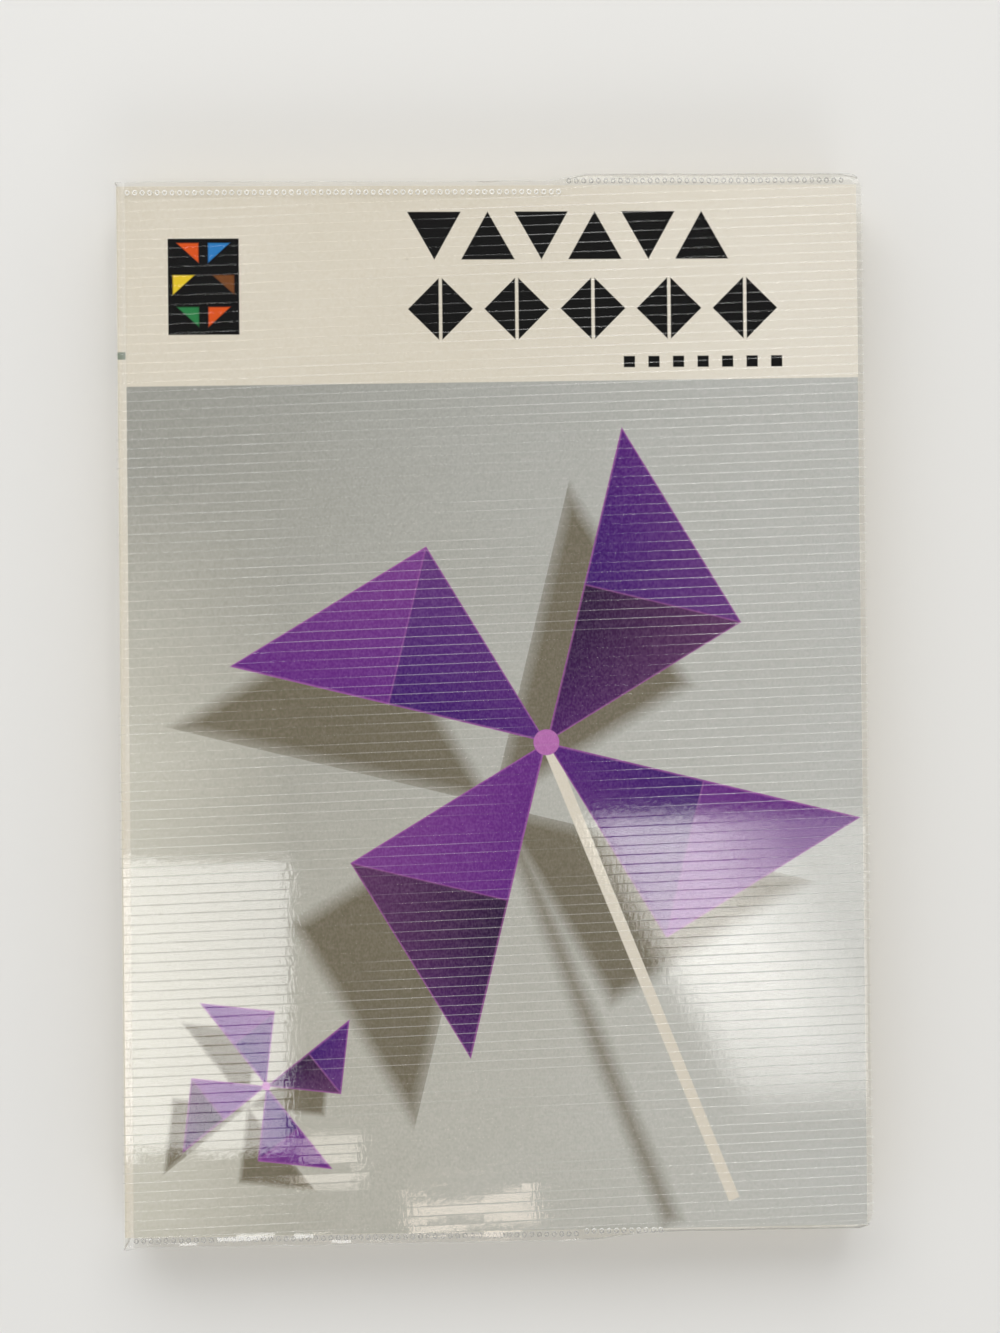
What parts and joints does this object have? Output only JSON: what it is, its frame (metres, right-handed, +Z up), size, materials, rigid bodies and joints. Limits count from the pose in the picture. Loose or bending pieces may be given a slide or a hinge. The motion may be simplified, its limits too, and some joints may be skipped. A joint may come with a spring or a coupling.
{
  "type": "paperback book in a clear vinyl jacket",
  "caption": "Pocket-size paperback book lying closed in a clear ribbed vinyl jacket, with front and back covers that open at the spine.",
  "frame": {"origin": "on the table below the middle of the whole closed book, at the jacket's outer face on the back cover", "axes": "+X from the spine to the fore-edge, +Y from the tail to the head, +Z up from the back cover to the front cover"},
  "size_m": [0.1062, 0.151, 0.0109],
  "materials": {
    "pages": "matt",
    "cover_card": "semi-matt print",
    "clear_vinyl": "clear, ribbed"
  },
  "bodies": {
    "block": {"page_block": "pages", "spine_card": "cover_card", "jacket_spine": "clear_vinyl"},
    "front": {"front_cover": "cover_card", "jacket_front": "clear_vinyl"},
    "back": {"back_cover": "cover_card", "jacket_back": "clear_vinyl"}
  },
  "joints": [
    {"name": "front_cover_fold", "type": "hinge", "parent": "block", "child": "front", "pos_m": [-0.05307, 0, 0.01005], "axis": [0, -1, 0], "range_deg": [0, 180]},
    {"name": "back_cover_fold", "type": "hinge", "parent": "block", "child": "back", "pos_m": [-0.05307, 0, 0.00085], "axis": [0, 1, 0], "range_deg": [0, 180]}
  ]
}
